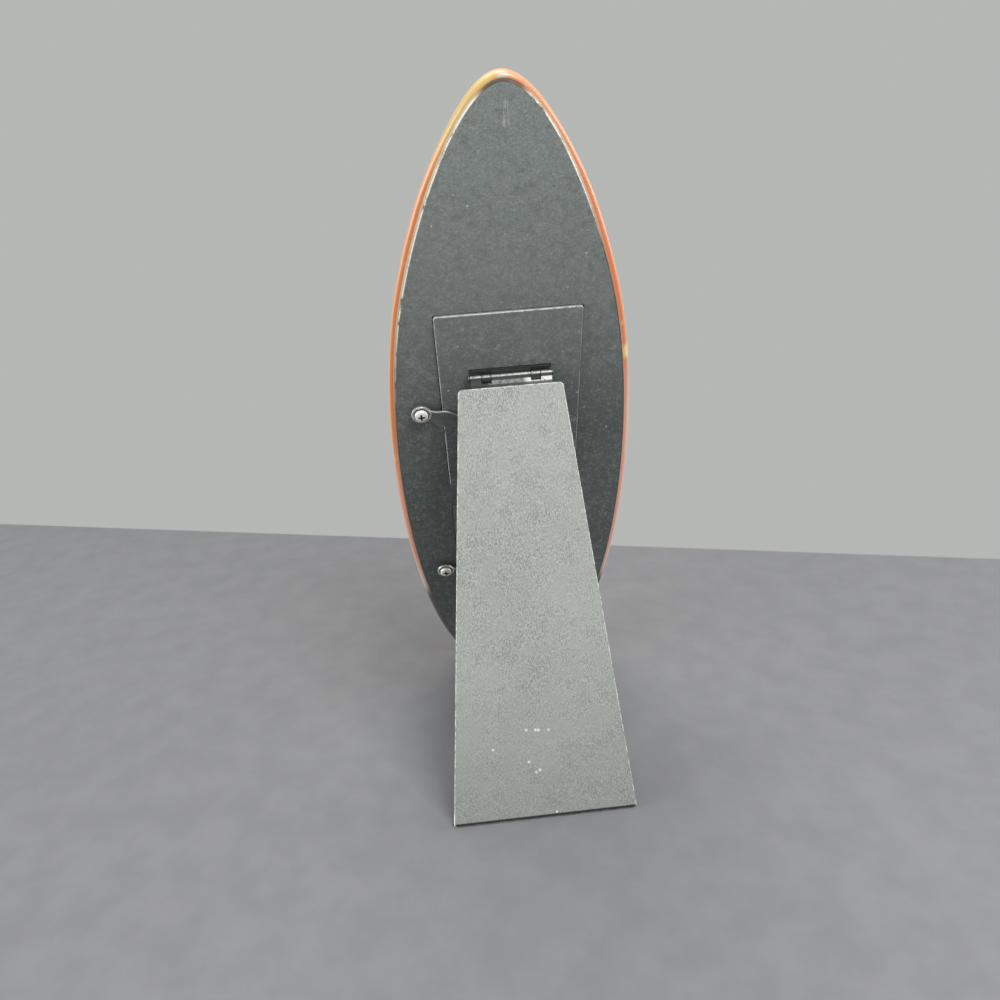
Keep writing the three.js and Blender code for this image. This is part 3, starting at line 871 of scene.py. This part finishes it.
def clear_glass():
    """Clear pane with faint smudges."""
    made, tree, shader = material("pane_glass")
    shader.inputs["Transmission Weight"].default_value = 1.0
    shader.inputs["IOR"].default_value = 1.45
    shader.inputs["Alpha"].default_value = 0.3
    smudge = noise(tree, place_of(tree), 55, 5, 0.6)
    tint = blend(tree, smudge, (0.93, 0.97, 0.96), (0.98, 0.99, 0.985))
    coat(tree, shader, tint, spread(tree, smudge, 0.45, 0.75, 0.0, 0.08))
    return made


SHEET = black_sheet()
RIM = worn_edge()
PANEL_RUB = rubbed_edge("panel_rub", (0.52, 0.54, 0.52), (0.15, 0.165, 0.16), 0.44, faint=SHADED_EDGE_X)
# The lower panel's edge is less rubbed, and darker than the upper one's as painted shade.
LOWER_RUB_SHADED = rubbed_edge("lower_panel_rub", (0.16, 0.17, 0.165), (0.08, 0.088, 0.085), 0.6)
LEG_RUB = rubbed_edge("leg_rub", (0.7, 0.72, 0.68), (0.2, 0.213, 0.2), 0.49, chip=on_leg(*LEG_CHIP_AT))
RAIL = rail_paint()
LEG_WRAP = leatherette()
STRIP_METAL = knuckle_metal("strip_metal", 0.08)
HINGE_METAL = knuckle_metal("knuckle_metal", 1)
# Painted shade: near black inside the screws' cross recesses.
RECESS_SHADE = metal("recess_grime", (0.08, 0.078, 0.07), 0.5, (0.02, 0.02, 0.018), 0.5, 0.3)
BUTTON_METAL = metal("button_paint", (0.15, 0.16, 0.15), 0.36, (0.1, 0.108, 0.1), 0.5, 0.1)
# Pale metal of the rolled bead, made pale partly as a painted highlight on the ring.
BEAD_METAL_GLINT = metal("bead_metal", (0.7, 0.71, 0.69), 0.34, (0.3, 0.305, 0.3), 0.45, 0.6)
SCREW_METAL = metal("screw_metal", (0.93, 0.92, 0.84), 0.34, (0.72, 0.71, 0.62), 0.42, 0.35)
PHOTO = paper("photo_card", (0.84, 0.82, 0.76), (0.76, 0.74, 0.68), 900)
# Dark board, darker than the black back as painted shade in the gap round each panel.
REBATE_SHADE = paper("rebate_board", (0.075, 0.062, 0.05), (0.035, 0.03, 0.026), 500)
CARD = paper("filler_card", (0.45, 0.34, 0.2), (0.3, 0.21, 0.12), 600)
GLASS = clear_glass()

OUTLINE = board_outline()
TEARDROP = teardrop()


# Pieces
def painted_board():
    """The painted board, one smooth body for its two glued layers, with painted shade on the walls of its
    rebates.
    """
    rings = [(RAIL_W * math.sin(a), BACK_Y - RAIL_BACK * (1 - math.cos(a))) for a in arc(9, 0, 90)]
    roll = BACK_Y - RAIL_BACK - FRONT_Y
    for a in arc(16, 6, 90):
        rings.append(((RAIL_W + RAIL_TUCK) * math.cos(a) - RAIL_TUCK, FRONT_Y + roll * (1 - math.sin(a))))
    board = stacked("painted_board", OUTLINE, rings, BOARD, share=slimmed(OUTLINE))
    cutters = [under_table()]
    flare = [(0, SPLIT_Y + SIGHT_OVER), (0, FRONT_Y + SIGHT_BEVEL)]
    flare.append((SIGHT_BEVEL + SIGHT_OVER, FRONT_Y - SIGHT_OVER))
    for z in WINDOW_Z.values():
        cutters.append(stacked("rebate_cut", rebate(z), [(0, OVER), (0, SPLIT_Y - SEAT / 2)], BOARD))
        sight = window(PANEL_W - 2 * SIGHT_LIP, PANEL_H - 2 * SIGHT_LIP, z)
        cutters.append(stacked("sight_cut", sight, flare, BOARD))
    carve(board, cutters)
    # The rebate walls take the dark board with painted shade.
    to_board = BOARD.inverted()
    for face in board.data.polygons:
        at = to_board @ face.center / MM
        beside = min(abs(at.z - z) for z in WINDOW_Z.values())
        inside = abs(at.x) < PANEL_W / 2 + REBATE_NEAR and beside < PANEL_H / 2 + REBATE_NEAR
        face.material_index = int(inside and SPLIT_Y - SEAT < at.y < BACK_Y - REBATE_UNDER)
    board.data.materials.append(RAIL)
    board.data.materials.append(REBATE_SHADE)
    smooth(board, sharp=32)
    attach(board, "frame")
    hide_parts("front_board", "back_board")


def black_back():
    """The black back face, with a rubbed edge all round."""
    cover = stacked("black_back", OUTLINE, COVER_EDGE, BOARD, bands=(1, 1, 1))
    cutters = [under_table(COVER_LIFT)]
    for z in WINDOW_Z.values():
        cutters.append(stacked("rebate_cut", rebate(z), [(0, OVER), (0, -OVER)], BOARD))
    cover.data.materials.append(SHEET)
    cover.data.materials.append(RIM)
    carve(cover, cutters)
    smooth(cover, sharp=50)
    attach(cover, "frame")
    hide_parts("back_cover")


def back_panel(name, z):
    """A lift-out panel with rubbed edges; the upper one has the hinge slot."""
    rings = round_over(PANEL_EDGE, PANEL_PROUD, [0, *arc(4, 22, 90)])
    rings += [(0, PANEL_IN + PANEL_EDGE), (-PANEL_EDGE, PANEL_IN)]
    panel = stacked(f"{name}_back_panel", window(PANEL_W, PANEL_H, z), rings, BOARD, bands=(1, 1, 1, 1))
    panel.data.materials.append(SHEET)
    panel.data.materials.append(PANEL_RUB if name == "upper" else LOWER_RUB_SHADED)
    if name == "upper":
        half = HINGE_W / 2 + SEAT
        top = PIN_Z + STRIP
        low_corner = (-half, PANEL_IN - OVER, top - LEAF_T - SEAT)
        carve(panel, [box("slot_cut", low_corner, (half, OVER, top + SEAT), BOARD)])
    smooth(panel, sharp=50)
    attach(panel, "frame")
    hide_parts(f"{name}_panel")


def grained_leg():
    """The easel leg, wrapped in grained paper."""
    top, half_top, half_low = -LEG_START, LEG_TOP / 2, LEG_BOTTOM / 2
    corners = [(-half_low, LEG_LOW), (-half_top, top), (half_top, top), (half_low, LEG_LOW)]
    loop = eased(corners, LEG_CORNER)
    loop[:, 0] += LEG_ASIDE
    rings = round_over(LEG_EDGE, LEG_OUT, arc(5, 0, 90))
    for a in arc(5, 0, 90):
        rings.append((-LEG_EDGE * (1 - math.cos(a)), LEG_IN + LEG_EDGE * (1 - math.sin(a))))
    leg = stacked("grained_leg", loop, rings, LEG, bands=(0, 1, 1, 0))
    leg.data.materials.append(LEG_WRAP)
    leg.data.materials.append(LEG_RUB)
    carve(leg, [under_table()])
    rounded(leg, LEG_SOFT)
    smooth(leg, sharp=40)
    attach(leg, "leg")
    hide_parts("easel_leg")


def add_bead(blade, place):
    """Adds the rolled bead round a button's ring."""
    bm = bmesh.new()
    bm.from_mesh(blade.data)
    loops = []
    for a in arc(BEAD_TURNS + 1, 0, 360)[:-1]:
        loop = []
        for b in arc(BEAD_SIDES + 1, 0, 360)[:-1]:
            r = RING - BEAD + BEAD * math.cos(b)
            y = BLADE_HIGH - BEAD_SINK + BEAD * math.sin(b)
            loop.append(bm.verts.new(place @ (Vector((r * math.cos(a), y, r * math.sin(a))) * MM)))
        loops.append(loop)
    for i, loop in enumerate(loops):
        following = loops[(i + 1) % BEAD_TURNS]
        for k in range(BEAD_SIDES):
            j = (k + 1) % BEAD_SIDES
            face = bm.faces.new((loop[k], loop[j], following[j], following[k]))
            face.material_index = 1
    bmesh.ops.recalc_face_normals(bm, faces=bm.faces)
    bm.to_mesh(blade.data)
    bm.free()


def turn_button(name, x, z):
    """A turn button: a pressed blade with a rolled ring round the screw."""
    place = BOARD @ Matrix.Translation((x * MM, 0, z * MM)) @ Matrix.Rotation(-BLADE_TURN[name], 4, "Y")
    rings = [(offset, BLADE_HIGH - drop) for offset, drop in PRESSED_EDGE]
    rings.append((0, BLADE_LOW))
    blade = stacked(f"{name}_turn_button", TEARDROP, rings, place, bands=(0, 0, 1))
    add_bead(blade, place)
    blade.data.materials.append(BUTTON_METAL)
    blade.data.materials.append(BEAD_METAL_GLINT)
    smooth(blade, sharp=45)
    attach(blade, f"{name}_turn")
    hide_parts(f"{name}_button")


def cross_screw(name, x, z):
    """A pan-head screw with a cross recess, with painted shade inside."""
    place = BOARD @ Matrix.Translation((x * MM, 0, z * MM))
    circle = np.array([(HEAD * math.cos(a), HEAD * math.sin(a)) for a in arc(41, 360, 0)[:-1]])
    profile = [(AXIS_R, SCREW_TOP)]
    for a in arc(8, 12, 90):
        rise = HEAD_RIM + (1 - HEAD_RIM) * math.cos(a)
        profile.append((HEAD * math.sin(a), SCREW_SEAT + HEAD_T * rise))
    profile += [(HEAD, SCREW_SEAT), (SHANK, SCREW_SEAT)]
    profile += [(SHANK, POINT - SCREW_LENGTH), (AXIS_R, -SCREW_LENGTH)]
    screw = stacked(f"{name}_cross_screw", circle, [(r - HEAD, y) for r, y in profile], place)
    half, over = SLOT_W / 2, SCREW_TOP + SLOT_OVER
    carve(screw, [
        box("slot_cut", (-SLOT_REACH, SLOT_FLOOR, -half), (SLOT_REACH, over, half), place),
        box("slot_cut", (-half, SLOT_FLOOR, -SLOT_REACH), (half, over, SLOT_REACH), place),
    ])
    to_screw = place.inverted()
    for face in screw.data.polygons:
        at = to_screw @ face.center / MM
        in_slot = math.hypot(at.x, at.z) < SLOT_REACH + HAIR and SLOT_FLOOR - HAIR < at.y < SLOT_DARK_TO
        level = abs((to_screw.to_3x3() @ face.normal).y)
        face.material_index = int(in_slot and (level > 1 - HAIR or level < HAIR))
    screw.data.materials.append(SCREW_METAL)
    screw.data.materials.append(RECESS_SHADE)
    smooth(screw, sharp=40)
    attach(screw, "frame")
    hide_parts(f"{name}_screw")


painted_board()
black_back()
for window_name, window_z in WINDOW_Z.items():
    back_panel(window_name, window_z)
grained_leg()
for pivot_name, (pivot_x, pivot_z) in PIVOT.items():
    turn_button(pivot_name, pivot_x, pivot_z)
for pivot_name, (pivot_x, pivot_z) in PIVOT.items():
    cross_screw(pivot_name, pivot_x, pivot_z)

# Solids that keep their shape: the finish of each, and how far its edges are rounded.
FINISH = {
    "hinge_panel_leaf": (STRIP_METAL, LEAF_EDGE),
    "hinge_leg_leaf": (HINGE_METAL, LEAF_EDGE),
    "hinge_pin": (HINGE_METAL, PIN_EDGE),
    "leg_tack_a": (SCREW_METAL, 0),
    "leg_tack_b": (SCREW_METAL, 0),
    "upper_glass": (GLASS, GLASS_EDGE),
    "lower_glass": (GLASS, GLASS_EDGE),
    "upper_photo": (PHOTO, 0),
    "lower_photo": (PHOTO, 0),
    "upper_filler": (CARD, 0),
    "lower_filler": (CARD, 0),
}
for node_name, (finish, edge_width) in FINISH.items():
    node = frame["nodes"][node_name]
    node.data.materials.clear()
    node.data.materials.append(finish)
    weld = node.modifiers.new("weld", "WELD")
    weld.merge_threshold = WELD * MM
    if edge_width:
        rounded(node, edge_width)
    smooth(node)

# Studio, in metres: the plain wall, the soft light of the world, and the floor with its far edge.
WALL = (0.465, 0.475, 0.463, 1)
SKY = (1, 1, 1, 1)
SKY_STRENGTH = 0.36
FLOOR_DARK = (0.172, 0.174, 0.179)
FLOOR_PALE = (0.193, 0.195, 0.2)
FLOOR_ROUGH = 0.75
FLOOR_HALF = 8
SEAM_TURN = math.radians(16.5813)
SEAM_POINT = Vector((2.2, TAIL_Y - 0.79, 0))
# Sizes in millimetres: the floor is plain wall from this far away, and the seam is this soft.
FLOOR_REACH = 950
SEAM_SOFT = 2


def seen_ray(tree):
    """1 for what the eye sees, directly, in a gloss or through glass, and 0 for light on other things."""
    rays = tree.nodes.new("ShaderNodeLightPath")
    kinds = ("Is Camera Ray", "Is Glossy Ray", "Is Transmission Ray")
    return either(tree, *[rays.outputs[kind] for kind in kinds])


def mix_shader(tree, factor, a, b):
    """Shader a where the factor is 0, b where it is 1."""
    n = tree.nodes.new("ShaderNodeMixShader")
    tree.links.new(factor, n.inputs[0])
    tree.links.new(a, n.inputs[1])
    tree.links.new(b, n.inputs[2])
    return n.outputs[0]


def studio_world():
    """A plain background for the eye and for reflections, and soft light for everything else."""
    world = bpy.data.worlds.new("studio")
    bpy.context.scene.world = world
    world.use_nodes = True
    tree = world.node_tree
    tree.nodes.clear()
    wall = tree.nodes.new("ShaderNodeBackground")
    wall.inputs["Color"].default_value = WALL
    sky = tree.nodes.new("ShaderNodeBackground")
    sky.inputs["Color"].default_value = SKY
    sky.inputs["Strength"].default_value = SKY_STRENGTH
    out = tree.nodes.new("ShaderNodeOutputWorld")
    tree.links.new(mix_shader(tree, seen_ray(tree), sky.outputs[0], wall.outputs[0]), out.inputs[0])


def studio_floor():
    """The floor, which becomes the plain background past its seam and far away."""
    mesh = bpy.data.meshes.new("floor")
    corners = [(FLOOR_HALF * x, FLOOR_HALF * y, 0) for x, y in ((1, -1), (1, 1), (-1, 1), (-1, -1))]
    mesh.from_pydata(corners, [], [(0, 1, 2, 3)])
    floor = bpy.data.objects.new("floor", mesh)
    bpy.context.scene.collection.objects.link(floor)
    made, tree, shader = material("floor_paper")
    fleck = noise(tree, place_of(tree), 60, 6, 0.6)
    colour = blend(tree, spread(tree, fleck, 0.3, 0.7), FLOOR_DARK, FLOOR_PALE)
    put(tree, shader.inputs["Base Color"], colour)
    shader.inputs["Roughness"].default_value = FLOOR_ROUGH
    seam = Vector((-math.sin(SEAM_TURN), -math.cos(SEAM_TURN), 0))
    behind = ramp(tree, seam, seam.dot(SEAM_POINT), 0, SEAM_SOFT)
    far = spread(tree, near(tree, (0, 0, 0), FLOOR_REACH), 0, 0.5, 1, 0)
    plain = both(tree, either(tree, behind, far), seen_ray(tree))
    glow = tree.nodes.new("ShaderNodeEmission")
    glow.inputs["Color"].default_value = WALL
    out = next(n for n in tree.nodes if n.type == "OUTPUT_MATERIAL")
    tree.links.new(mix_shader(tree, plain, shader.outputs[0], glow.outputs[0]), out.inputs[0])
    mesh.materials.append(made)


def lamp(name, place, aim, size, power):
    """A square lamp, in metres and watts."""
    light = bpy.data.lights.new(name, "AREA")
    light.size = size
    light.energy = power
    made = bpy.data.objects.new(name, light)
    made.location = place
    made.rotation_euler = (Vector(aim) - Vector(place)).to_track_quat("-Z", "Y").to_euler()
    bpy.context.scene.collection.objects.link(made)


studio_world()
studio_floor()
lamp("key", (-0.25, 0.48, 0.78), aim=(0, 0.02, 0.14), size=0.4, power=6.3)
lamp("left", (1.08, 0.2, 0.36), aim=(0, 0, 0.15), size=0.6, power=9.5)
lamp("right", (-1.1, 0, 0.36), aim=(0, 0, 0.15), size=0.6, power=7)
lamp("front", (0.1, -0.55, 1.25), aim=(0, 0, 0.12), size=0.8, power=7.5)

# The photograph's camera: its place in metres, its turn from the front, tilt and roll, and its lens.
CAMERA_AT = Vector((0.02391, TAIL_Y + 0.370288, 0.252479))
CAMERA_TURN = math.radians(176.8583)
CAMERA_TILT = math.radians(66.5788)
CAMERA_ROLL = math.radians(-4.0897)
LENS = 27.72
SENSOR = 36
CLIP_START = 0.01
eye = bpy.data.cameras.new("photo_camera")
eye.lens = LENS
eye.sensor_width = SENSOR
eye.clip_start = CLIP_START
camera = bpy.data.objects.new("photo_camera", eye)
heading = Matrix.Rotation(CAMERA_TURN, 4, "Z") @ Matrix.Rotation(CAMERA_TILT, 4, "X")
camera.matrix_world = Matrix.Translation(CAMERA_AT) @ heading @ Matrix.Rotation(CAMERA_ROLL, 4, "Z")
bpy.context.scene.collection.objects.link(camera)
bpy.context.scene.camera = camera
bpy.context.scene.view_settings.view_transform = "Standard"
